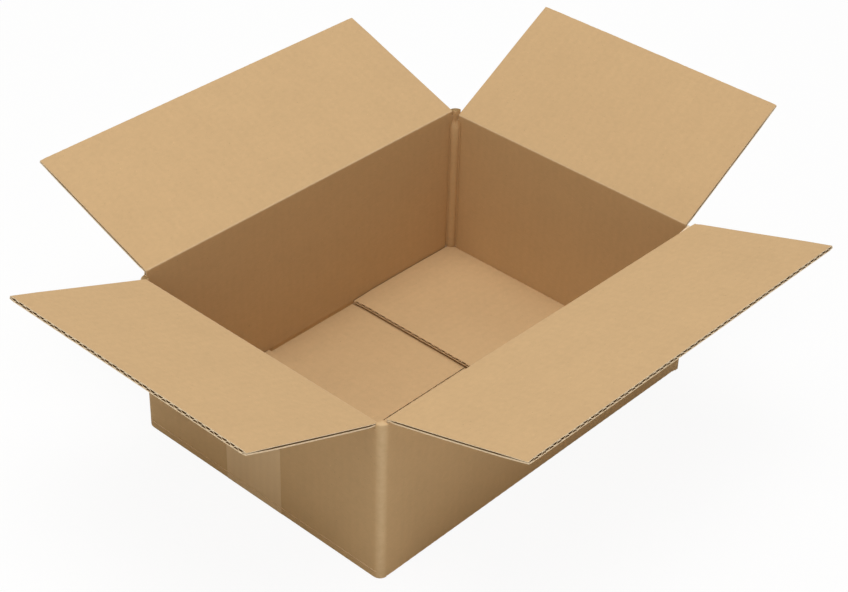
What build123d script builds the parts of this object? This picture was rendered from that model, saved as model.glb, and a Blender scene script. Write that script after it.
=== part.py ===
from build123d import *
from collections import namedtuple
import os

os.makedirs("parts", exist_ok=True)

# Open slotted carton of single-wall corrugated board, folded from one blank: four walls, a glue
# tab, four bottom flaps taped shut and four top flaps that swing on their creases.
# Millimetres. X runs along the long walls, Y along the short walls, Z is up, and the origin is
# the middle of the underside.
box_length = 298.0            # outside, over the two short walls
box_width = 215.0             # outside, over the two long walls
box_height = 120.0            # underside to the outer line of the long flaps' creases

# Board: a fluted medium glued between two liners
board = 2.9
liner = 0.3
medium = 0.3
flute_pitch = 6.5
flute_crest = 1.3             # flat of the medium where it is glued to a liner
crushed_length = 7.0          # board beside a crease in which the flutes are pressed shut
open_side_depth = 1.5         # least depth of the flute that is cut open along a side edge

# Creases and slots
crease_gap = 0.2              # play at each side of a top crease, so that the mitred roots pass
stack_clearance = 0.2         # play between a short flap and the long flap that folds over it
slot_half = 5.5               # outer face of a wall to the edge of the slot beside it
slot_play = 0.3               # side edge of a top flap to the post beside it
corner_radius = 5.0           # outside of the three folded upright edges
bottom_radius = 2.4           # outside of the bottom folds and of the glue tab's fold
bead_radius = 4.0             # crushed ridge of board inside each folded upright edge
bead_inset = 0.8              # centre of that ridge from each inner wall face
bead_neck = 1.5               # radius to which it narrows at its top, beside the closed flaps
bead_taper = 9.0              # height over which it narrows
groove_radius = 0.5           # crease line pressed into the wall at each side of the ridge

# Top flaps, measured from their creases, and how far each leans out from upright
long_flap = 106.5
short_flap = 105.5
front_lean_degrees = 74.4
right_lean_degrees = 60.1
back_lean_degrees = 70.0
left_lean_degrees = 69.6

# Bottom flaps: the long pair lies outside and meets at the seam, the short pair lies inside
seam_offset = -3.4            # middle of the seam, which lies nearer to the front wall
seam_gap = 1.0
inner_flap = 107.0            # short pair, from the outer face of its wall to its raw edge
inner_flap_play = 0.7         # side edges of the short pair to the long walls
tab_play = 0.2                # side edge of the right inner flap to the glue tab
fold_lift = 0.5               # underside of the short pair's crushed folds above the ground
fold_play = 0.3               # those folds to the side edges of the long pair
right_spring_degrees = 0.9    # how far the short pair stands up off the long pair
left_spring_degrees = 0.5

# Glue tab, lapped inside the front wall at its right end
tab_width = 32.0
tab_thickness = 2.4
tab_taper = 6.0
tab_end_gap = 0.5             # tab's ends to the closed flaps above and below

# Tape over the bottom seam, pressed flush into the board and run up both short walls
tape_width = 50.0
tape_thickness = 0.1
tape_offset = 3.7             # middle of the tape from the seam, towards the back
tape_rise = 55.0              # height of its ends above the underside

# Worked out from the above
flap_step = board + stack_clearance
short_height = box_height - flap_step
flute_height = board - 2 * liner
overrun = 1.0                 # how far a cutting shape passes the faces that it cuts

# A wall is modelled as the front one, outer face towards -Y, and then turned to its place.
# reach is from the origin to the outer face, half is half of its length over the corners.
Wall = namedtuple("Wall", "name facing reach half crease flap lean")
front = Wall("front", 0, box_width / 2, box_length / 2, box_height, long_flap, front_lean_degrees)
right = Wall("right", 90, box_length / 2, box_width / 2, short_height, short_flap, right_lean_degrees)
back = Wall("back", 180, box_width / 2, box_length / 2, box_height, long_flap, back_lean_degrees)
left = Wall("left", -90, box_length / 2, box_width / 2, short_height, short_flap, left_lean_degrees)


def along_wall(outline, start, end):
    """Prism of an outline of (inward from the outer face, height) points, from start to end in X."""
    face = Plane.YZ.offset(start) * Polygon(*outline, align=None)
    return extrude(face, end - start, dir=(1, 0, 0))


def place(wall, shape, height=0):
    """Turn a shape made as part of the front wall to its own wall, with its base at height."""
    return Rot(Z=wall.facing) * Pos(0, -wall.reach, height) * shape


def flute_channels(start, end, low, high):
    """The empty channels at both sides of the medium, and the flute open at each side edge."""
    width = end - start
    middle = (start + end) / 2
    count = int((width - 2 * open_side_depth) // flute_pitch)
    wide = (flute_pitch - flute_crest) / 2 - medium
    narrow = flute_crest / 2
    outer_liner, inner_liner = liner, board - liner
    under_crest = Polygon(
        (-wide, outer_liner), (wide, outer_liner),
        (narrow, inner_liner - medium), (-narrow, inner_liner - medium), align=None)
    over_trough = Polygon(
        (-narrow, outer_liner + medium), (narrow, outer_liner + medium),
        (wide, inner_liner), (-wide, inner_liner), align=None)
    first = middle - count * flute_pitch / 2
    shapes = [Pos(first + (i + 0.5) * flute_pitch, 0) * under_crest for i in range(count)]
    shapes += [Pos(first + i * flute_pitch, 0) * over_trough for i in range(1, count)]
    side_depth = (width - count * flute_pitch) / 2
    slit = Rectangle(side_depth + overrun, flute_height)
    for side in (-1, 1):
        edge = middle + side * (width / 2 + (overrun - side_depth) / 2)
        shapes.append(Pos(edge, board / 2) * slit)
    section = Sketch() + [Pos(0, 0, low) * shape for shape in shapes]
    return extrude(section, high - low, dir=(0, 0, 1))


def flap_board(start, end, length, mitred):
    """A flap standing straight up from its crease, outer face on Y = 0, with open flutes.

    A mitred root leaves room to swing. The other kind starts inside the wall that it grows from.
    """
    if mitred:
        root = [(0, crease_gap), (board, board + crease_gap)]
    else:
        root = [(0, board / 2), (board, board / 2)]
    plate = along_wall(root + [(board, length), (0, length)], start, end)
    return plate - flute_channels(start, end, crushed_length, length + overrun)


def top_flap(wall):
    """One top flap at its rest lean. The front one runs to the end of the blank at its right."""
    start = -wall.half + slot_half + slot_play
    end = wall.half - slot_play if wall is front else -start
    plate = flap_board(start, end, wall.flap, mitred=True)
    return place(wall, Rot(X=wall.lean) * plate, wall.crease)


def wall_plan():
    """Plan of the four walls. Three upright edges are folds, the front right one is the lap."""
    def folded(corner):
        return not (corner.X > 0 and corner.Y < 0)
    outside = Rectangle(box_length, box_width)
    outside = fillet([v for v in outside.vertices() if folded(v)], corner_radius)
    inside = Rectangle(box_length - 2 * board, box_width - 2 * board)
    lap_x, lap_y = box_length / 2, -box_width / 2 + board
    centre = bottom_radius / 2
    behind_lap = Pos(lap_x - centre, lap_y + centre) * Rectangle(bottom_radius, bottom_radius)
    fold_round = Pos(lap_x - bottom_radius, lap_y + bottom_radius) * Circle(bottom_radius)
    return outside - inside - (behind_lap - fold_round)


def corner_bead(side_x, side_y):
    """Ridge that the crushed board makes inside a folded upright edge, with a narrower top."""
    low = 2 * board + stack_clearance
    neck_low = short_height - board - crease_gap - stack_clearance
    outline = Plane.XZ * Polygon(
        (0, low), (bead_radius, low), (bead_radius, neck_low - bead_taper),
        (bead_neck, neck_low), (bead_neck, box_height), (0, box_height), align=None)
    reach = bead_inset + bead_radius
    quarter = Box(reach, reach, box_height, align=(Align.MIN, Align.MIN, Align.MIN))
    bead = quarter & (Pos(bead_inset, bead_inset) * revolve(outline, Axis.Z))
    turn = {(1, 1): 180, (-1, 1): 270, (-1, -1): 0}[(side_x, side_y)]
    corner = Pos(side_x * (box_length / 2 - board), side_y * (box_width / 2 - board))
    return corner * Rot(Z=turn) * bead


def corner_grooves(side_x, side_y):
    """The two crease lines, one in each wall, at the foot of a corner's ridge."""
    from_corner = bead_inset + bead_radius + groove_radius
    rod = Cylinder(groove_radius, box_height - 2 * flap_step, align=(Align.CENTER, Align.CENTER, Align.MIN))
    x, y = box_length / 2 - board, box_width / 2 - board
    spots = [(x - from_corner, y), (x, y - from_corner)]
    return [Pos(side_x * px, side_y * py, flap_step) * rod for px, py in spots]


def top_cut(wall):
    """Takes a wall down to its crease between the slots, mitred so that the flap can turn in."""
    top = wall.crease - crease_gap
    outline = [(-overrun, top + overrun), (board + overrun, top - board - overrun),
               (board + overrun, box_height + overrun), (-overrun, box_height + overrun)]
    start = -wall.half + slot_half
    end = wall.half + overrun if wall is front else -start
    return place(wall, along_wall(outline, start, end))


def bottom_cut(wall):
    """Rounds the outside of a wall's bottom fold, between the slots."""
    start, end = -wall.half + slot_half, wall.half - slot_half
    edge = along_wall([(-overrun, -overrun), (bottom_radius, -overrun),
                       (bottom_radius, bottom_radius), (-overrun, bottom_radius)], start, end)
    round_rod = Pos(start, bottom_radius, bottom_radius) * Rot(Y=90) * Cylinder(
        bottom_radius, end - start, align=(Align.CENTER, Align.CENTER, Align.MIN))
    return place(wall, edge - round_rod)


def outer_bottom_flap(wall, length):
    """A long bottom flap: flat on the ground, its raw edge at the seam."""
    start, end = -wall.half + slot_half, wall.half - slot_half
    return place(wall, along_wall([(0, 0), (length, 0), (length, board), (0, board)], start, end))


def inner_bottom_flap(wall, spring, start, end):
    """A short bottom flap above the long pair, sprung up a little, and its crushed fold below."""
    plate = flap_board(start, end, inner_flap, mitred=False)
    folded = (Rot(X=-90 - spring) * plate).mirror(Plane.XY)
    slot_start, slot_end = -wall.half + slot_half, wall.half - slot_half
    inner_side = slot_half - fold_play
    fold = along_wall([(board / 2, fold_lift), (inner_side, fold_lift), (inner_side, flap_step + board / 2),
                       (board / 2, flap_step + board / 2)], slot_start, slot_end)
    return place(wall, folded, flap_step) + place(wall, fold)


def glue_tab():
    """Tab at the end of the right wall, folded round and glued inside the front wall."""
    low, high = board + tab_end_gap, box_height - board - tab_end_gap
    inner_end, corner = front.half - tab_width, front.half - board
    outline = Plane.XZ * Polygon(
        (corner, low), (corner, high), (inner_end, high - tab_taper), (inner_end, low + tab_taper), align=None)
    return place(front, Pos(0, board, 0) * extrude(outline, tab_thickness, dir=(0, 1, 0)))


def lap_post_cut():
    """Lowers the right wall's end behind the lap, under the closed front flap."""
    clear = box_height - board - crease_gap
    size = (board + overrun, slot_half - board, box_height - clear + overrun)
    block = Box(*size, align=(Align.MAX, Align.MIN, Align.MIN))
    return Pos(box_length / 2 + overrun, -box_width / 2 + board, clear) * block


def tape_strip():
    """Tape along the seam, round the bottom folds of the short walls and up both of them."""
    outside = Plane.XZ * Rectangle(box_length, 2 * tape_rise, align=(Align.CENTER, Align.MIN))
    low_corners = outside.vertices().sort_by(Axis.Z)[:2]
    outside = fillet(low_corners, bottom_radius)
    hollow = outside - offset(outside, amount=-tape_thickness)
    kept = Plane.XZ * Rectangle(box_length, tape_rise, align=(Align.CENTER, Align.MIN))
    return Pos(0, tape_offset - tape_width / 2, 0) * extrude(hollow & kept, tape_width, dir=(0, 1, 0))


def carton_body(tape):
    """The folded blank without its top flaps."""
    body = extrude(wall_plan(), box_height)
    folds = [(1, 1), (-1, 1), (-1, -1)]
    body += [corner_bead(*fold) for fold in folds]
    body -= [rod for fold in folds for rod in corner_grooves(*fold)]
    body -= [top_cut(wall) for wall in (front, right, back, left)]
    body += outer_bottom_flap(front, front.reach + seam_offset - seam_gap / 2)
    body += outer_bottom_flap(back, back.reach - seam_offset - seam_gap / 2)
    body -= [bottom_cut(wall) for wall in (front, right, back, left)]
    side = right.half - board - inner_flap_play
    beside_tab = right.half - board - tab_thickness - tab_play
    body += inner_bottom_flap(right, right_spring_degrees, -beside_tab, side)
    body += inner_bottom_flap(left, left_spring_degrees, -side, side)
    body += glue_tab()
    body -= lap_post_cut()
    return body - tape


tape = tape_strip()
nodes = {"tape": tape, "carton": carton_body(tape)}
for wall in (front, right, back, left):
    nodes["top_flap_" + wall.name] = top_flap(wall)

for name, shape in nodes.items():
    export_step(shape, f"parts/{name}.step")
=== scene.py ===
import math
from collections import namedtuple

import bmesh
import bpy
from mathutils import Matrix, Vector


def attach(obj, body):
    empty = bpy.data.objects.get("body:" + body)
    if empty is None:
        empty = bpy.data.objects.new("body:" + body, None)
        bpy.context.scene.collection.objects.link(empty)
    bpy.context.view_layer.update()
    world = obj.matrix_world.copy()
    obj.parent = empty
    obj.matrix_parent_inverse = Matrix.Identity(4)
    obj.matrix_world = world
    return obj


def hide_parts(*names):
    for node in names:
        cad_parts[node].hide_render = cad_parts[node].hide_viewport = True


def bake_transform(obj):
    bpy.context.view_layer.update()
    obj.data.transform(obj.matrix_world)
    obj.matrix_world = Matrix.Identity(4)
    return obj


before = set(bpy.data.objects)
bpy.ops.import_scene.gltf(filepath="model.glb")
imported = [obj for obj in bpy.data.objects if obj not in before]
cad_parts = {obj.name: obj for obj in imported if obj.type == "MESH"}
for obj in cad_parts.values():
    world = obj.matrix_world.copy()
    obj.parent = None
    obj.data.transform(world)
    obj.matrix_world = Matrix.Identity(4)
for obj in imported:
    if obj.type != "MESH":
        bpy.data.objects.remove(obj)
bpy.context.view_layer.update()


# Camera
# It stands above the near corner, where the short left wall meets the long front wall.
# Its place and lens come from the corners of the box in the photograph, 848 by 592.
camera_data = bpy.data.cameras.new("camera")
camera_data.sensor_width = 36.0
camera_data.lens = 82.17
camera_data.clip_start, camera_data.clip_end = 0.05, 60.0
camera = bpy.data.objects.new("camera", camera_data)
bpy.context.collection.objects.link(camera)
bpy.context.scene.camera = camera
camera_place = (-0.767951, -0.695698, 0.817305)
camera_right = (0.682154, -0.730847, 0.022982)
camera_up = (0.409929, 0.408266, 0.815645)
camera_back = (-0.605495, -0.546975, 0.578096)
camera.matrix_world = (Matrix.Translation(camera_place)
                       @ Matrix((camera_right, camera_up, camera_back)).transposed().to_4x4())


# Studio light and sky
# A wide soft box hangs over the open top. Weaker ones stand behind the box, on its left and low
# on the camera's side. A warm sky all round fills the shadows, and looks plain white itself.
bpy.context.scene.view_settings.view_transform = "Standard"


def soft_box(name, place, aim, size, power, colour):
    """One square studio lamp, turned to face a point of the box."""
    lamp = bpy.data.lights.new(name, "AREA")
    lamp.shape, lamp.size, lamp.energy, lamp.color = "SQUARE", size, power, colour
    lamp_object = bpy.data.objects.new(name, lamp)
    bpy.context.collection.objects.link(lamp_object)
    lamp_object.location = place
    lamp_object.rotation_mode = "QUATERNION"
    lamp_object.rotation_quaternion = (Vector(aim) - Vector(place)).to_track_quat("-Z", "Y")


soft_box("top_soft_box", place=(-0.15, -0.1, 1.9), aim=(0.0, 0.0, 0.08),
         size=1.3, power=25.6, colour=(1.0, 1.0, 1.0))
soft_box("rear_soft_box", place=(0.95, 0.95, 1.3), aim=(-0.05, -0.05, 0.12),
         size=0.7, power=5.2, colour=(0.98, 1.0, 1.05))
soft_box("left_soft_box", place=(-1.3, 0.0, 1.15), aim=(0.05, 0.0, 0.06),
         size=0.8, power=2.8, colour=(1.0, 0.95, 0.80))
soft_box("low_soft_box", place=(-0.55, -1.4, 0.32), aim=(-0.1, -0.07, 0.06),
         size=0.8, power=3.1, colour=(1.0, 0.94, 0.86))


class Wire:
    """A node's socket in a Python expression; every operation on it adds its Math node."""

    def __init__(self, tree, socket=None):
        self.tree, self.socket = tree, socket

    def node(self, kind, settings=None, inputs=None, out=0):
        """Add any node: its settings first, then its sockets. Gives back the outputs asked for."""
        made = self.tree.nodes.new(kind)
        for name, value in (settings or {}).items():
            setattr(made, name, value)
        for name, value in (inputs or {}).items():
            if isinstance(value, Wire):
                self.tree.links.new(value.socket, made.inputs[name])
            else:
                made.inputs[name].default_value = value
        if isinstance(out, tuple):
            return [Wire(self.tree, made.outputs[one]) for one in out]
        return Wire(self.tree, made.outputs[out]) if made.outputs else None

    def maths(self, operation, *others):
        """A Math node whose first value is this one."""
        return self.node("ShaderNodeMath", {"operation": operation}, dict(enumerate((self, *others))))

    def __add__(self, other):
        return self.maths("ADD", other)

    def __sub__(self, other):
        return self.maths("SUBTRACT", other)

    def __rsub__(self, other):
        return self.node("ShaderNodeMath", {"operation": "SUBTRACT"}, {0: other, 1: self})

    def __mul__(self, other):
        return self.maths("MULTIPLY", other)

    def __truediv__(self, other):
        return self.maths("DIVIDE", other)

    def __rtruediv__(self, other):
        return self.node("ShaderNodeMath", {"operation": "DIVIDE"}, {0: other, 1: self})

    __radd__, __rmul__ = __add__, __mul__

    def clamped(self):
        """The value, held between 0 and 1."""
        return self.node("ShaderNodeClamp", {}, {0: self})

    def eased(self):
        """Smooth step of a value that lies between 0 and 1."""
        return self * self * (3.0 - self * 2.0)

    def mixed(self, factor, first, second):
        """Mix of two colours by a factor."""
        return self.node("ShaderNodeMix", {"data_type": "RGBA"}, {0: factor, 6: first, 7: second}, out=2)


def emptied(owner):
    """Empty the node tree of a material or a world, ready for its expressions."""
    owner.use_nodes = True
    owner.node_tree.nodes.clear()
    return Wire(owner.node_tree)


white = (1.0, 1.0, 1.0, 1.0)
fill_strength = 0.20
fill_colour = (1.0, 0.95, 0.83, 1.0)
world = bpy.data.worlds.new("studio")
bpy.context.scene.world = world
sky = emptied(world)
straight = sky.node("ShaderNodeLightPath", out="Is Camera Ray")
sky_light = sky.node("ShaderNodeBackground", {}, {"Color": fill_colour, "Strength": fill_strength})
sky_white = sky.node("ShaderNodeBackground", {}, {"Color": white, "Strength": 1.0})
sky_seen = sky.node("ShaderNodeMixShader", {}, {0: straight, 1: sky_light, 2: sky_white})
sky.node("ShaderNodeOutputWorld", {}, {"Surface": sky_seen})


# Floor
# A plain pale sheet under the box, as in a cut-out studio picture. It keeps the soft shadow
# of the box, and its own whiteness fills the background.
floor_drop = 0.0003
floor_size = 30.0
floor_white = (0.90, 0.90, 0.90, 1.0)
floor_glow = 0.93              # share of its look that is plain white, whatever the shadow

floor_mesh = bpy.data.meshes.new("floor")
shape = bmesh.new()
bmesh.ops.create_grid(shape, x_segments=1, y_segments=1, size=floor_size / 2)
bmesh.ops.translate(shape, verts=shape.verts, vec=(0, 0, -floor_drop))
shape.to_mesh(floor_mesh)
shape.free()
floor = bpy.data.objects.new("floor", floor_mesh)
bpy.context.collection.objects.link(floor)
floor_finish = bpy.data.materials.new("pale_floor")
wire = emptied(floor_finish)
straight = wire.node("ShaderNodeLightPath", out="Is Camera Ray")
sheet = wire.node("ShaderNodeBsdfDiffuse", {}, {"Color": floor_white})
glow = wire.node("ShaderNodeEmission", {}, {"Color": white, "Strength": 1.0})
floor_look = wire.node("ShaderNodeMixShader", {}, {0: straight * floor_glow, 1: sheet, 2: glow})
wire.node("ShaderNodeOutputMaterial", {}, {"Surface": floor_look})
floor_mesh.materials.append(floor_finish)


# Board of the blank
# Single-wall corrugated board: two plain brown kraft liners, smooth and matte, with a fluted
# medium of darker, coarser paper glued between them, its colour darkened further as painted
# shade of the open flutes. Cut edges show the paler fibre, lightened further as a painted highlight.
board = 0.0029
liner = 0.0005
medium = 0.0005
flute_pitch = 0.0065
print_turn = 2.0 * math.pi / flute_pitch   # angle of the flutes' wave per metre across them
kraft_brown = (0.592, 0.400, 0.213)
# Darker than the liners: the medium's own colour, darkened further as painted shade of the open flutes
medium_and_void_shade_brown = (0.26, 0.150, 0.054)
# Paler cut fibre, lightened further as a painted highlight on the raw edges
raw_and_lit_brown = (0.88, 0.71, 0.50)
# Pale colour of worn folds: real wear, with a painted highlight on fold crests and folded corners
worn_and_lit_brown = (0.78, 0.62, 0.41, 1.0)
darkest, lightest = 0.86, 1.14             # ends of the paper's tone
cloud_tone, formation_tone, streak_tone, fibre_tone, print_tone = 0.7, 0.9, 0.8, 0.9, 0.02
formation_relief, streak_relief, fibre_relief, print_relief = 0.25, 0.3, 0.45, 0.04
paper_relief, paper_depth = 0.5, 0.00012
roughness_spread, paper_sheen = 0.12, 0.08
fibre_roughness = 0.6                      # how much fine detail the noise keeps
worn_and_lit_share = 0.75                          # how much of a worn fold's paper turns pale, as wear and painted highlight
fleck_edge = 14.0                          # how sharply a fleck stands out of its noise
dark_fleck = dict(scale=760.0, seed=7.9, level=0.735, strength=0.55, tone=0.55)
pale_fleck = dict(scale=640.0, seed=9.3, level=0.745, strength=0.5, tone=1.32)


def shade(colour, factor):
    """A colour made darker or lighter, with its alpha."""
    return tuple(channel * factor for channel in colour) + (1.0,)


def kraft_paper(name, colour, contrast, roughness, striped):
    """Brown paper: cloudy fibre, streaks, flecks, and folds worn pale with a painted highlight; a liner
    shows the flutes.
    """
    paper = bpy.data.materials.new(name)
    wire = emptied(paper)
    place = wire.node("ShaderNodeTexCoord", out="Object")

    def noise(scale, detail, seed, stretch=(1.0, 1.0, 1.0)):
        """Noise of about 0 to 1; the seed moves its place."""
        moved = (seed, seed * 1.7, seed * 0.6)
        spot = wire.node("ShaderNodeMapping", {}, {0: place, "Location": moved, "Scale": stretch})
        return wire.node("ShaderNodeTexNoise", {},
                         {"Vector": spot, "Scale": scale, "Detail": detail, "Roughness": fibre_roughness})

    def flecked(painted, fleck):
        """The paper with one kind of small fleck on it."""
        spots = ((noise(fleck["scale"], 1.0, fleck["seed"]) - fleck["level"]) * fleck_edge).clamped()
        return wire.mixed(spots * fleck["strength"], painted, shade(colour, fleck["tone"]))

    clouds = noise(scale=38.0, detail=3.0, seed=0.31) - 0.5
    formation = noise(scale=260.0, detail=3.0, seed=1.27) - 0.5
    streaks = noise(scale=520.0, detail=2.0, seed=2.05, stretch=(0.45, 0.45, 1.9)) - 0.5
    fibres = noise(scale=1900.0, detail=2.0, seed=4.4) - 0.5
    tone = 0.5 + (clouds * cloud_tone + formation * formation_tone + streaks * streak_tone
                  + fibres * fibre_tone) * contrast
    height = formation * formation_relief + streaks * streak_relief + fibres * fibre_relief
    if striped:
        across = wire.node("ShaderNodeAttribute", {"attribute_name": "across"}, out="Fac")
        print_line = (across * print_turn).maths("COSINE")
        tone = tone + print_line * print_tone
        height = height + print_line * print_relief
    painted = wire.mixed(tone.clamped(), shade(colour, darkest), shade(colour, lightest))
    painted = flecked(flecked(painted, dark_fleck), pale_fleck)
    # Fold crests and corners are painted paler: part wear, part painted highlight
    wear = wire.node("ShaderNodeAttribute", {"attribute_name": "wear"}, out="Fac")
    painted = wire.mixed((wear * (worn_and_lit_share + formation)).clamped(), painted, worn_and_lit_brown)
    relief = wire.node("ShaderNodeBump", {},
                       {"Strength": paper_relief, "Distance": paper_depth, "Height": height})
    rough = (roughness + formation * roughness_spread).clamped()
    surface = wire.node("ShaderNodeBsdfPrincipled", {},
                        {"Base Color": painted, "Roughness": rough,
                         "Specular IOR Level": paper_sheen, "Normal": relief})
    wire.node("ShaderNodeOutputMaterial", {}, {"Surface": surface})
    return paper


liner_paper = kraft_paper("kraft_liner", kraft_brown, contrast=0.42, roughness=0.8, striped=True)
flute_and_shade_paper = kraft_paper("fluting_medium_and_shade", medium_and_void_shade_brown, contrast=0.7, roughness=0.92, striped=False)
raw_and_lit_paper = kraft_paper("raw_cut_edge_and_highlight", raw_and_lit_brown, contrast=1.0, roughness=0.95, striped=False)


# Top flaps
# Four flaps of the blank, each a board of three papers on its scored crease. Their raw edges show
# the flutes open between the liners. The nodes lay each paper out in cells, row by row, from the
# wall's top edge round the crease to the flap's raw end. The bottom flaps are made by them too.
box_length, box_width, box_height = 0.298, 0.215, 0.120
flap_step = 0.0031             # short creases lie this far below the long ones
slot_half = 0.0055
slot_play = 0.0003
crease_margin = 0.002          # depth of wall that belongs to the crease
crease_reach = 0.006           # board beyond the crease in finer cells
crease_press = 0.0060          # board beyond the crease that the creasing wheel pressed
score_depth = 0.0005           # groove that the wheel leaves in the hollow side
score_width = 0.0012           # width of the sharper line that Score presses at its bottom
scallop = 0.00004              # waviness of the crease where it crosses the flutes
liner_sag = 0.000015           # print of the flutes in the liners
end_cut, end_pinch = 0.0009, 0.00014     # how the die pinches the board along its raw end,
side_cut, side_pinch = 0.0016, 0.00022   # harder along its side edges,
tip_reach, tip_pinch = 0.004, 0.0004     # and most at its corners
waver_scale = 9.0              # noise of the flap's slow warp, and of its frayed cuts
side_fray_scale, end_fray_scale, end_fray = 420.0, 300.0, 0.0005
side_flute = 0.003             # the medium is laid flat this near to a side edge
flute_steepness = 1.7          # flat glued crests with steep slopes between them
corner_reach = 0.014           # part of a raw corner that Lift bends
fold_wear_and_highlight = 0.90               # how pale the stretched liner is worn along its fold, with a painted highlight on its crest
smooth_angle = math.radians(38)          # edges sharper than this stay crisp
margin_rows, bend_rows, near_rows, far_rows = 2, 9, 5, 5
rows = margin_rows + bend_rows + near_rows + far_rows
liner_columns, medium_columns = 6, 16    # cells per flute
LINER, MEDIUM, RAW = 0, 1, 2             # the papers, in the order of a piece's materials

panel = bpy.data.node_groups.new("corrugated flap", "GeometryNodeTree")
for name, default in (("Start", -0.1), ("End", 0.1), ("Length", 0.1), ("Lean", 1.2), ("Margin", 0.002),
                      ("Crush", 0.0), ("End crush", 0.0), ("Sharp", 0.0), ("Score", 0.0),
                      ("Trough", 0.0), ("Bow", 0.0), ("Lift", 0.0), ("Waver", 0.0),
                      ("Ragged side", 0.0), ("Seed", 0.0)):
    panel.interface.new_socket(name, in_out="INPUT", socket_type="NodeSocketFloat").default_value = default
panel.interface.new_socket("Flap", in_out="OUTPUT", socket_type="NodeSocketGeometry")
flap = Wire(panel)
(start, end, length, lean, margin, crush, end_crush, sharp, score, trough, bow, lift, waver,
 ragged, seed) = flap.node("NodeGroupInput", out=tuple(range(15)))
cell_x, cell_y, cell_z = flap.node("ShaderNodeSeparateXYZ", {},
                                   {0: flap.node("GeometryNodeInputPosition")}, out=(0, 1, 2))
step = (cell_z + 0.5) * float(rows)


def stage_of(before, count):
    """How far a row is through one stage of the board's path, from 0 to 1."""
    return ((step - float(before)) / float(count)).clamped()


def speckle(x, y, scale):
    """Seeded noise of about -0.5 to 0.5 at a place on the flap."""
    spot = flap.node("ShaderNodeCombineXYZ", {}, {0: x, 1: y, 2: seed})
    return flap.node("ShaderNodeTexNoise", {}, {"Vector": spot, "Scale": scale, "Detail": 2.0}) - 0.5


# Where a cell lies: across the flutes, in the wall's top, round the bend and out along the flap
x = start + (end - start) * (cell_x + 0.5)
below = (1.0 - stage_of(0, margin_rows)) * margin
turn = lean * stage_of(margin_rows, bend_rows)
out = (stage_of(margin_rows + bend_rows, near_rows) * crease_reach
       + stage_of(rows - far_rows, far_rows) * (length - crease_reach))
share = out / length
pressed = (1.0 - below / margin - out / crease_press).clamped().eased()
wave = 0.5 - ((x - trough) * print_turn).maths("COSINE") * 0.5
steep_wave = (0.5 + (wave - 0.5) * flute_steepness).clamped()

# How far a mitred fold stands out past an arc: nothing at the bend's ends, most in its middle
to_bend_end = turn.maths("MINIMUM", lean - turn)
peak = 1.0 / to_bend_end.maths("COSINE") - 1.0
crest = peak / (1.0 / (lean * 0.5).maths("COSINE") - 1.0)

# The two faces of the board: pinched by the die, pressed at the crease, printed by the flutes
from_side = (x - start).maths("MINIMUM", end - x)
pinched = (1.0 - from_side / side_cut).clamped() * side_pinch
pinched = pinched.maths("MAXIMUM", (1.0 - (length - out) / end_cut).clamped() * end_pinch)
tip = (1.0 - from_side / tip_reach).clamped() * (1.0 - (length - out) / tip_reach).clamped()
pinched = pinched + tip * tip_pinch
along = (x - start) / (end - start)
crushed = pressed * (crush + end_crush * along)
scored = (1.0 - below / margin - out / score_width).clamped() * score
hollow_side = pressed * score_depth + scored + wave * liner_sag + pinched
round_side = board - crushed - (1.0 - wave) * (liner_sag + pressed * scallop) - pinched

# How the whole flap warps, and how its cuts are frayed
at_corner = ((x - end + corner_reach) / corner_reach).clamped()
off_plane = (share * share * bow + at_corner * at_corner * share * share * share * lift
             + speckle(x, out, waver_scale) * waver * share
             - end_crush * along * (1.0 - pressed) * (1.0 - share))
last_row = step.maths("GREATER_THAN", rows - 0.01)
last_column = cell_x.maths("ABSOLUTE").maths("GREATER_THAN", 0.4999)
cut_x = x + last_column * speckle(x, out, side_fray_scale) * ragged
cut_out = out + last_row * speckle(x, out, end_fray_scale) * end_fray


def sheet_of_paper(columns, bottom, top, sort, worn_and_lit):
    """One sheet of the board, a closed slab in cells, bent along the path of the flap."""
    count = (end - start) * (columns / flute_pitch) + 1.0
    slab = flap.node("GeometryNodeMeshCube", {}, {"Size": (1.0, 1.0, 1.0), "Vertices X": count,
                                                  "Vertices Y": 2, "Vertices Z": rows + 1})
    facing_y = flap.node("ShaderNodeSeparateXYZ", {}, {0: flap.node("GeometryNodeInputNormal")}, out=1)
    is_cut = 1.0 - facing_y.maths("ABSOLUTE").maths("GREATER_THAN", 0.5)
    for name, data_type, domain, value in (("across", "FLOAT", "POINT", x - trough),
                                           ("wear", "FLOAT", "POINT", crest * crest * worn_and_lit),
                                           ("sort", "INT", "FACE", sort + is_cut * (RAW - sort))):
        slab = flap.node("GeometryNodeStoreNamedAttribute", {"data_type": data_type, "domain": domain},
                         {"Geometry": slab, "Name": name, "Value": value})
    depth = bottom + (top - bottom) * (cell_y + 0.5)
    depth = depth + depth * depth * peak * sharp / board + off_plane
    inward = depth * turn.maths("COSINE") - cut_out * lean.maths("SINE")
    upward = depth * turn.maths("SINE") - below + cut_out * lean.maths("COSINE")
    place = flap.node("ShaderNodeCombineXYZ", {}, {0: cut_x, 1: inward, 2: upward})
    return flap.node("GeometryNodeSetPosition", {}, {"Geometry": slab, "Position": place})


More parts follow.
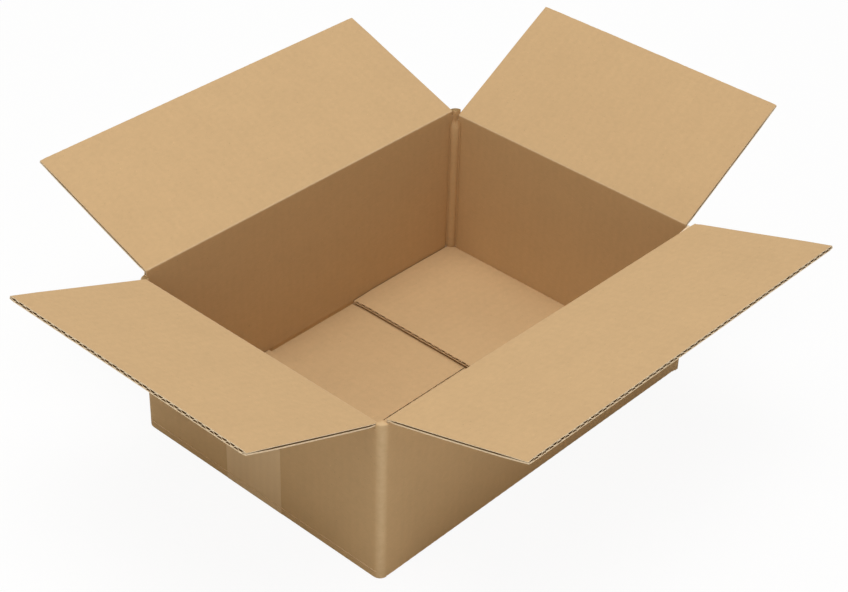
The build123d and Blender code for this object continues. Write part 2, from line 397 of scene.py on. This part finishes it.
# Where the board is crushed, its papers are squeezed; elsewhere the medium waves between them
papers = 2.0 * liner + medium
squeeze = ((round_side - hollow_side) / papers).maths("MINIMUM", 1.0)
room = round_side - hollow_side - squeeze * papers
laid = (from_side / side_flute).clamped()
medium_face = hollow_side + squeeze * liner + room * steep_wave * laid
sheets = [sheet_of_paper(liner_columns, hollow_side, hollow_side + squeeze * liner, LINER, 0.0),
          sheet_of_paper(liner_columns, round_side - squeeze * liner, round_side, LINER, fold_wear_and_highlight),
          sheet_of_paper(medium_columns, medium_face, medium_face + squeeze * medium, MEDIUM, 0.0)]
joined = panel.nodes.new("GeometryNodeJoinGeometry")
for sheet in sheets:
    panel.links.new(sheet.socket, joined.inputs[0])
made = flap.node("GeometryNodeSetShadeSmooth", {}, {"Geometry": Wire(panel, joined.outputs[0])})
made = flap.node("GeometryNodeRealizeInstances", {}, {"Geometry": made})
sort_of = flap.node("GeometryNodeInputNamedAttribute", {"data_type": "INT"}, {"Name": "sort"})
for sort, paper in ((LINER, liner_paper), (MEDIUM, flute_and_shade_paper), (RAW, raw_and_lit_paper)):
    chosen = sort_of.maths("COMPARE", float(sort), 0.1)
    made = flap.node("GeometryNodeSetMaterial", {},
                     {"Geometry": made, "Selection": chosen, "Material": paper})
flap.node("NodeGroupOutput", {}, {0: made})


def flap_piece(name, placed, **sizes):
    """Run the corrugated flap's nodes for one flap, and leave a plain mesh in its place."""
    holder = bpy.data.objects.new(name + "_form", bpy.data.meshes.new(name + "_form"))
    bpy.context.collection.objects.link(holder)
    modifier = holder.modifiers.new("flap", "NODES")
    modifier.node_group = panel
    for socket in panel.interface.items_tree:
        if socket.in_out == "INPUT" and socket.name in sizes:
            modifier[socket.identifier] = sizes[socket.name]
    formed = holder.evaluated_get(bpy.context.evaluated_depsgraph_get())
    mesh = bpy.data.meshes.new_from_object(formed)
    bpy.data.objects.remove(holder)
    mesh.transform(placed)
    mesh.set_sharp_from_angle(angle=smooth_angle)
    mesh.name = name
    piece = bpy.data.objects.new(name, mesh)
    bpy.context.collection.objects.link(piece)
    return piece


def on_wall(wall, inward, height):
    """Frame of a wall: X along it, Y inward from its outer face, Z up, turned to its side."""
    return (Matrix.Rotation(math.radians(wall["facing"]), 4, "Z")
            @ Matrix.Translation((0.0, inward - wall["reach"], height)))


# Lean is how far a top flap has swung out from upright, in degrees. Crush is how deep its crease
# is crushed at its start, and how much deeper at its end.
top_sharp, top_waver, ragged_side = 0.8, 0.0006, 0.0003
walls = {
    "front": dict(facing=0, reach=box_width / 2, half=box_length / 2, crease=box_height,
                  flap=0.1065, lean=74.4, trough=0.00275, bow=0.0008, crush=(0.0003, 0.0018), seed=1.0),
    "right": dict(facing=90, reach=box_length / 2, half=box_width / 2, crease=box_height - flap_step,
                  flap=0.1055, lean=60.1, trough=0.0, bow=0.0006, crush=(0.0, 0.0), seed=2.0),
    "back": dict(facing=180, reach=box_width / 2, half=box_length / 2, crease=box_height,
                 flap=0.1065, lean=70.0, trough=0.00325, bow=0.0004, crush=(0.0, 0.0), seed=3.0),
    "left": dict(facing=-90, reach=box_length / 2, half=box_width / 2, crease=box_height - flap_step,
                 flap=0.1055, lean=69.6, trough=0.0, bow=0.0006, crush=(0.0, 0.0), seed=4.0),
}

for side, wall in walls.items():
    placed = on_wall(wall, 0.0, wall["crease"])
    start_x = -wall["half"] + slot_half + slot_play
    end_x = wall["half"] - slot_play if side == "front" else -start_x
    lean_angle = math.radians(wall["lean"])
    crush, end_crush = wall["crush"]
    piece = flap_piece("flap_" + side, placed, **{
        "Start": start_x, "End": end_x, "Length": wall["flap"], "Lean": lean_angle,
        "Margin": crease_margin, "Crush": crush, "End crush": end_crush, "Sharp": top_sharp,
        "Trough": wall["trough"], "Bow": wall["bow"], "Waver": top_waver,
        "Ragged side": ragged_side, "Seed": wall["seed"]})
    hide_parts("top_flap_" + side)
    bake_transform(piece)


# Walls and folded corners
# The rest of the blank stands as four walls, with three folded upright edges and a glued lap.
# Folding crushes the board into a round ridge inside each fold, between two scored lines. Between
# two top flaps the fold goes on up as a small post.
corner_radius, corner_power = 0.0068, 2.4   # outside of a fold, rounder in the middle than an arc
bead_radius, bead_inset = 0.0037, 0.0008
bead_edge = 0.00452                # foot of the ridge from the inner corner
post_face = slot_half - board      # edge of a slot from the inner corner
fold_span = 0.0085                 # plain wall starts this far from the inner corner
# scored line: distance from the inner corner, and depth
groove_line = ((0.0064, 0.0), (0.0059, 0.0001), (0.0055, 0.0004), (0.0051, 0.0009), (0.0048, 0.0007))
ridge_steps = 16
lap_radius, lap_steps = 0.0024, 6
lap_swell = 0.0003                 # how far the tab's fold swells inward
raw_strip = 0.003                  # end of the front wall in which the flutes show
bottom_radius = 0.0012             # outside of the folds under the short walls and the corners
bottom_steps = 6
margin_height = 0.003              # depth of wall that belongs to the fold of a long bottom flap
long_foot = board + margin_height
short_top, long_top = box_height - flap_step - crease_margin, box_height - crease_margin
lap_top = box_height - flap_step
ridge_foot = (0.0035, 0.0063)      # the ridge grows between these heights,
ridge_head = (0.1080, 0.1139)      # and narrows to the post between these
crowns = {"right": 0.1224, "back": 0.1180, "left": 0.1196}   # tops of the posts
post_top_shade_papers = {"post right": MEDIUM, "post back": MEDIUM, "post left": LINER}   # the rest are raw; these three take darker papers than raw as painted shade
# how far a post's faces stand in, by depth under its top
crown_rounding = {0.0005: 0.0001, 0.0002: 0.0003, 0.0: 0.0006}
bottom_arc = {}
for step_number in range(bottom_steps + 1):
    swung = math.pi / 2 * step_number / bottom_steps
    bottom_arc[round(bottom_radius * (1.0 - math.cos(swung)), 7)] = bottom_radius * (1.0 - math.sin(swung))
zone_heights = {"long": (long_foot, long_top), "short": (0.0, short_top), "lap post": (0.0, lap_top),
                "front end": (0.0, long_top)}
zone_heights.update({"post " + side: (0.0, crown) for side, crown in crowns.items()})
plain_levels = (0.005, 0.0075, 0.03, 0.06, 0.09, 0.1100, 0.1120, 0.1130)
crown_levels = [round(crown - drop, 7) for crown in crowns.values() for drop in crown_rounding]
levels = sorted({*bottom_arc, *ridge_foot, *plain_levels, *ridge_head, *crown_levels,
                 long_foot, short_top, long_top, lap_top})


def ridge_share(height):
    """How much of a corner's ridge stands at a height: none at its ends, all of it between."""
    growing, narrowing = (min(1.0, max(0.0, (height - low) / (high - low)))
                          for low, high in (ridge_foot, ridge_head))
    return growing * growing * (3.0 - 2.0 * growing) * (1.0 - narrowing)


def rounded_off(height, crown):
    """How far the outside face stands in at a height, for the bottom fold or under a post's top."""
    if height <= bottom_radius:
        return bottom_arc[height]
    return crown_rounding.get(round(crown - height, 7), 0.0)


# Stations go round the box anticlockwise from the lap: outside point, inside point where there
# is no ridge, inside point on the full ridge, the zone up to the next station, distance across
# the flutes, wear with painted highlight, and for a post its top
Station = namedtuple("Station", "outside plain ridged zone across wear crown")
stations = []


def add_station(placed, outside, plain, ridged, zone, across=0.0, wear=0.0, crown=0.0):
    """One more station, from points that are given in the frame of a wall."""
    points = [placed @ Vector((p[0], p[1], 0.0)) for p in (outside, plain, ridged)]
    stations.append(Station(*points, zone, across, wear, crown))


def add_wall(side, from_x, to_x, zone, last=False):
    """A plain stretch of wall, in which the liners carry the print of the flutes."""
    wall = walls[side]
    placed = on_wall(wall, 0.0, 0.0)
    count = max(1, round((to_x - from_x) / flute_pitch * liner_columns))
    for i in range(count + 1 if last else count):
        along = from_x + (to_x - from_x) * i / count
        flute = 0.5 - 0.5 * math.cos(print_turn * (along - wall["trough"]))
        fade = liner_sag * min(1.0, (along - from_x) / flute_pitch, (to_x - along) / flute_pitch)
        inside = (along, board - (1.0 - flute) * fade)
        add_station(placed, (along, flute * fade), inside, inside, zone, across=along - wall["trough"])


def add_fold(side, zone_before, zone_after):
    """A folded corner at the end of a wall, measured from the corner of the two inner faces."""
    wall = walls[side]
    placed = on_wall(wall, board, 0.0)
    corner = wall["half"] - board
    crown = crowns[side]

    def point(before, after):
        """Place of a point by its distances from the next wall's inner face and from this one's."""
        return corner - before, after

    for along, dip in ((fold_span, 0.0), *groove_line, (bead_edge, 0.0)):
        add_station(placed, point(along, -board), point(along, 0.0), point(along, -dip), zone_before)
    first_swing = math.asin(((corner_radius - slot_half) / corner_radius) ** (corner_power / 2))
    ridge_start = -math.asin(bead_inset / bead_radius)
    for i in range(ridge_steps + 1):
        share = i / ridge_steps
        swung = first_swing + (math.pi / 2 - 2 * first_swing) * share
        outside = point(*(corner_radius - board - corner_radius * part ** (2 / corner_power)
                          for part in (math.sin(swung), math.cos(swung))))
        turned = ridge_start + (math.pi / 2 - 2 * ridge_start) * share
        ridged = point(bead_inset + bead_radius * math.cos(turned),
                       bead_inset + bead_radius * math.sin(turned))
        plain = point(min(post_face, 2 * post_face * (1.0 - share)), min(post_face, 2 * post_face * share))
        add_station(placed, outside, plain, ridged, "post " + side if i < ridge_steps else zone_after,
                    wear=math.sin(math.pi * share), crown=crown)
    for along, dip in ((bead_edge, 0.0), *reversed(groove_line)):
        add_station(placed, point(-board, along), point(0.0, along), point(-dip, along), zone_after)


# The right wall starts at the fold of the glue tab, behind the end of the front wall
right_frame = on_wall(walls["right"], 0.0, 0.0)
lap_centre = -box_width / 2 + board + lap_radius
for i in range(lap_steps + 1):
    swung = math.pi / 2 * i / lap_steps
    outside = (lap_centre - lap_radius * math.cos(swung), lap_radius - lap_radius * math.sin(swung))
    inside = (lap_centre + lap_swell * math.sin(swung), board + lap_swell * (1.0 - math.sin(swung)))
    add_station(right_frame, outside, inside, inside, "lap post")
plain_long = box_length / 2 - board - fold_span
plain_short = box_width / 2 - board - fold_span
add_wall("right", -box_width / 2 + slot_half, plain_short, "short")
add_fold("right", "short", "long")
add_wall("back", -plain_long, plain_long, "long")
add_fold("back", "long", "short")
add_wall("left", -plain_short, plain_short, "short")
add_fold("left", "short", "long")
add_wall("front", -plain_long, box_length / 2 - slot_half, "long")
add_wall("front", box_length / 2 - slot_half, box_length / 2 - raw_strip, "front end", last=True)

# Each station stands at every level, as a point outside and one inside
# Painted highlight along the rounded outside of each folded corner, strongest at its middle
corner_painted_highlight = 0.36
hair = 1e-9                        # room for rounding where heights are compared
shape = bmesh.new()
print_layer = shape.verts.layers.float.new("across")
wear_and_highlight_layer = shape.verts.layers.float.new("wear")
grid = {}
for i, station in enumerate(stations):
    outside = station.outside
    for j, height in enumerate(levels):
        inside = station.plain.lerp(station.ridged, ridge_share(height))
        stand_in = rounded_off(height, station.crown)
        outer = outside.lerp(station.plain, stand_in / (outside - station.plain).length)
        inner = inside
        if height > bottom_radius:
            inner = inside.lerp(outside, stand_in / (outside - inside).length)
        grid[i, j, 0] = (Vector((outer.x, outer.y, height)), station.wear * corner_painted_highlight)
        grid[i, j, 1] = (Vector((inner.x, inner.y, height)), 0.0)


def corner_at(i, j, face):
    """The ring's vertex at a station and a level, outside or inside, made when it is first used."""
    if isinstance(grid[i, j, face], tuple):
        spot, worn_and_lit = grid[i, j, face]
        vertex = shape.verts.new(spot)
        vertex[print_layer], vertex[wear_and_highlight_layer] = stations[i].across, worn_and_lit
        grid[i, j, face] = vertex
    return grid[i, j, face]


def zone_of(i):
    """The zone from a station to the next one, or nothing beyond the ends."""
    return stations[i].zone if 0 <= i < len(stations) - 1 else ""


def standing(i, j):
    """Whether there is board between a station and the next one, and a level and the next one."""
    if not zone_of(i) or not 0 <= j < len(levels) - 1:
        return False
    low, high = zone_heights[zone_of(i)]
    return low - hair <= levels[j] and levels[j + 1] <= high + hair


def add_face(corners, material):
    """One face of the ring, of one paper."""
    shape.faces.new([corner_at(*corner) for corner in corners]).material_index = material


# Faces go outside, inside, and wherever the board ends upward, downward or sideways
for i in range(len(stations) - 1):
    for j in range(len(levels) - 1):
        if not standing(i, j):
            continue
        add_face([(i, j, 0), (i + 1, j, 0), (i + 1, j + 1, 0), (i, j + 1, 0)], LINER)
        add_face([(i, j, 1), (i, j + 1, 1), (i + 1, j + 1, 1), (i + 1, j, 1)], LINER)
        # A top edge is raw paper, but the post tops take darker papers as painted shade
        if not standing(i, j + 1):
            add_face([(i, j + 1, 0), (i + 1, j + 1, 0), (i + 1, j + 1, 1), (i, j + 1, 1)],
                     post_top_shade_papers.get(zone_of(i), RAW))
        if not standing(i, j - 1):
            add_face([(i, j, 0), (i, j, 1), (i + 1, j, 1), (i + 1, j, 0)], RAW)
        side_paper = LINER if zone_of(i).startswith("post") else RAW
        if not standing(i - 1, j):
            add_face([(i, j, 0), (i, j + 1, 0), (i, j + 1, 1), (i, j, 1)], side_paper)
        if not standing(i + 1, j):
            add_face([(i + 1, j, 0), (i + 1, j, 1), (i + 1, j + 1, 1), (i + 1, j + 1, 0)], side_paper)


def add_slab(low, high, material, edge_material, taper=0.0):
    """A thin slab of board or paper; taper lowers and raises the corners of its low X end."""
    corners = {}
    for x in (low[0], high[0]):
        for y in (low[1], high[1]):
            shift = taper if x == low[0] else 0.0
            corners[x, y, 0] = shape.verts.new((x, y, low[2] + shift))
            corners[x, y, 1] = shape.verts.new((x, y, high[2] - shift))
    (x0, y0), (x1, y1) = low[:2], high[:2]
    sides = (([(x0, y0), (x1, y0)], material), ([(x1, y0), (x1, y1)], edge_material),
             ([(x1, y1), (x0, y1)], material), ([(x0, y1), (x0, y0)], edge_material))
    for (one, other), paper in sides:
        ring = [corners[(*one, 0)], corners[(*other, 0)], corners[(*other, 1)], corners[(*one, 1)]]
        shape.faces.new(ring).material_index = paper
    for end_of_slab, order in ((0, 1), (1, -1)):
        ring = [corners[x0, y0, end_of_slab], corners[x0, y1, end_of_slab],
                corners[x1, y1, end_of_slab], corners[x1, y0, end_of_slab]]
        shape.faces.new(ring[::order]).material_index = edge_material


# Raw end of the front wall: two liners, with the edge of the medium between them
strip_x, front_y = box_length / 2 - raw_strip, -box_width / 2
medium_depth = 0.0017              # where the die cut the medium, from the outer face
for y, thick, paper in ((front_y, liner, LINER), (front_y + board - liner, liner, LINER),
                        (front_y + medium_depth, medium, MEDIUM)):
    add_slab((strip_x, y, 0.0), (box_length / 2, y + thick, long_top), paper, RAW)

# Glue tab, folded round from the right wall and glued inside the front wall
tab_width, tab_taper, tab_gap = 0.032, 0.006, 0.0034
tab_y = front_y + board
add_slab((box_length / 2 - tab_width, tab_y, tab_gap),
         (box_length / 2 - lap_radius, tab_y + lap_radius, box_height - tab_gap), LINER, RAW, tab_taper)

ring_mesh = bpy.data.meshes.new("walls")
shape.to_mesh(ring_mesh)
shape.free()
for paper in (liner_paper, flute_and_shade_paper, raw_and_lit_paper):
    ring_mesh.materials.append(paper)
ring_mesh.shade_smooth()
ring_mesh.set_sharp_from_angle(angle=smooth_angle)
ring = bpy.data.objects.new("walls", ring_mesh)
bpy.context.collection.objects.link(ring)
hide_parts("carton")
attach(ring, "carton")


# Bottom flaps
# Four flaps folded in under the box: the long pair outside, whose raw edges meet at the seam,
# and the short pair on top of them, whose raw edges stand up a little inside the box.
seam_gap = 0.0008
past_middle = {"front": -0.0034, "back": 0.0034}   # reach of the long flaps past the middle
inner_flap = 0.107                         # reach of the short pair from the walls' outer faces
inner_side = 0.1039                        # side edges of the short pair from the middle
beside_tab = 0.1020                        # the right one's edge that clears the tab
score_inset = 0.0004                       # its crease starts this far inside the wall's board
inner_margin, inner_crush, inner_score = 0.0001, 0.0006, 0.0009
inner_waver, inner_ragged = 0.0002, 0.0006
springs = {"right": 0.9, "left": 0.5}      # degrees by which the short pair stands off the long
lifts = {"right": 0.0012, "left": 0.0}     # how far their free corners curl up

for side, wall in walls.items():
    sizes = {"Trough": wall["trough"], "Seed": wall["seed"] + 10.0, "Sharp": 1.0 - bottom_radius / board}
    half_flap = wall["half"] - slot_half
    if side in springs:
        placed = on_wall(wall, board - score_inset, flap_step + board)
        sizes.update({
            "Start": -beside_tab if side == "right" else -inner_side, "End": inner_side,
            "Length": inner_flap - board + score_inset, "Lean": math.radians(90.0 + springs[side]),
            "Margin": inner_margin, "Crush": inner_crush, "Score": inner_score, "Lift": lifts[side],
            "Waver": inner_waver, "Ragged side": inner_ragged})
    else:
        placed = on_wall(wall, board, board)
        sizes.update({
            "Start": -half_flap, "End": half_flap, "Margin": margin_height, "Lean": math.radians(90.0),
            "Length": wall["reach"] - board + past_middle[side] - seam_gap / 2,
            "Ragged side": ragged_side})
    piece = flap_piece("bottom_flap_" + side, placed @ Matrix.Rotation(math.pi, 4, "X"), **sizes)
    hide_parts("carton")
    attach(piece, "carton")


# Packing tape
# One strip of buff film, 50 mm wide, pressed over the seam of the bottom, round the folds under
# the short walls and up both of them. Its colour is lightened as a painted sheen. Its dispenser left
# toothed ends.
tape_width, tape_offset, tape_rise = 0.050, 0.0037, 0.055
tape_lift, tape_thick = 0.00005, 0.00005
tooth_pitch, tooth_depth = 0.0016, 0.0005
tape_columns = 96
tape_rise_rows, tape_fold_rows, tape_under_rows = 18, 6, 62
tape_drawn = (1.0, 1.0, 0.12)      # the film's haze is drawn out up the walls
# Milky buff film over kraft, both shades lightened as a painted sheen
tape_dark_and_sheen, tape_light_and_sheen = (0.62, 0.43, 0.24, 1.0), (0.77, 0.56, 0.33, 1.0)
haze_tone, under_tone, tape_print_tone = 0.5, 0.25, 0.05
haze_relief, under_relief, tape_print_relief = 0.6, 0.4, 0.15
tape_relief, tape_depth = 0.35, 0.0001
tape_roughness, tape_roughness_spread, tape_sheen = 0.36, 0.2, 0.45

film = bpy.data.materials.new("packing_tape")
wire = emptied(film)
place = wire.node("ShaderNodeTexCoord", out="Object")
drawn = wire.node("ShaderNodeMapping", {}, {0: place, "Scale": tape_drawn})
haze = wire.node("ShaderNodeTexNoise", {}, {"Vector": drawn, "Scale": 90.0, "Detail": 3.0}) - 0.5
under = wire.node("ShaderNodeTexNoise", {}, {"Vector": place, "Scale": 420.0, "Detail": 3.0}) - 0.5
across = wire.node("ShaderNodeAttribute", {"attribute_name": "across"}, out="Fac")
print_line = (across * print_turn).maths("COSINE")
film_tone = (0.5 + haze * haze_tone + under * under_tone + print_line * tape_print_tone).clamped()
film_height = under * under_relief + haze * haze_relief + print_line * tape_print_relief
film_relief = wire.node("ShaderNodeBump", {},
                        {"Strength": tape_relief, "Distance": tape_depth, "Height": film_height})
film_surface = wire.node("ShaderNodeBsdfPrincipled", {}, {
    "Base Color": wire.mixed(film_tone, tape_dark_and_sheen, tape_light_and_sheen), "Specular IOR Level": tape_sheen,
    "Roughness": (tape_roughness + haze * tape_roughness_spread).clamped(), "Normal": film_relief})
wire.node("ShaderNodeOutputMaterial", {}, {"Surface": film_surface})

# The strip's path in X and Z: down the left wall, round its fold, along the bottom, and up again
half_length = box_length / 2 + tape_lift
fold_radius = bottom_radius + tape_lift
down = [(-half_length, tape_rise - (tape_rise - bottom_radius) * i / tape_rise_rows)
        for i in range(tape_rise_rows)]
for i in range(tape_fold_rows + 1):
    swung = math.pi / 2 * i / tape_fold_rows
    down.append((fold_radius - half_length - fold_radius * math.cos(swung),
                 bottom_radius - fold_radius * math.sin(swung)))
flat_half = half_length - fold_radius
under_run = [(-flat_half + 2 * flat_half * i / tape_under_rows, -tape_lift)
             for i in range(1, tape_under_rows)]
tape_path = down + under_run + [(-x, z) for x, z in reversed(down)]

shape = bmesh.new()
print_layer = shape.verts.layers.float.new("across")
rows_of_tape = []
for number, (x, z) in enumerate(tape_path):
    before, after = tape_path[max(0, number - 1)], tape_path[min(len(tape_path) - 1, number + 1)]
    along = Vector((after[0] - before[0], 0.0, after[1] - before[1])).normalized()
    outward = Vector((along.z, 0.0, -along.x))
    at_end = 1.0 if number in (0, len(tape_path) - 1) else 0.0
    toward = -1.0 if number == 0 else 1.0
    row = []
    for column in range(tape_columns + 1):
        y = tape_offset - tape_width / 2 + tape_width * column / tape_columns
        tooth = abs(((y / tooth_pitch) % 1.0) * 2.0 - 1.0)
        spot = Vector((x, y, z)) + along * (toward * at_end * (tooth - 1.0) * tooth_depth)
        pair = []
        for lift_off in (0.0, tape_thick):
            vertex = shape.verts.new(spot + outward * lift_off)
            vertex[print_layer] = y
            pair.append(vertex)
        row.append(pair)
    rows_of_tape.append(row)
for row, following in zip(rows_of_tape, rows_of_tape[1:]):
    for column in range(tape_columns):
        a, b, c, d = row[column], row[column + 1], following[column + 1], following[column]
        shape.faces.new([a[1], b[1], c[1], d[1]])
        shape.faces.new([d[0], c[0], b[0], a[0]])
    for a, d, flip in ((row[0], following[0], 1), (row[-1], following[-1], -1)):
        shape.faces.new([a[0], a[1], d[1], d[0]][::flip])
for row, flip in ((rows_of_tape[0], -1), (rows_of_tape[-1], 1)):
    for a, b in zip(row, row[1:]):
        shape.faces.new([a[0], a[1], b[1], b[0]][::flip])
bmesh.ops.recalc_face_normals(shape, faces=shape.faces)
tape_mesh = bpy.data.meshes.new("tape_strip")
shape.to_mesh(tape_mesh)
shape.free()
tape_mesh.materials.append(film)
tape_mesh.shade_smooth()
tape_mesh.set_sharp_from_angle(angle=math.radians(45))   # the fold is smooth, the rim crisp
tape = bpy.data.objects.new("tape_strip", tape_mesh)
bpy.context.collection.objects.link(tape)
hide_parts("tape")
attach(tape, "carton")
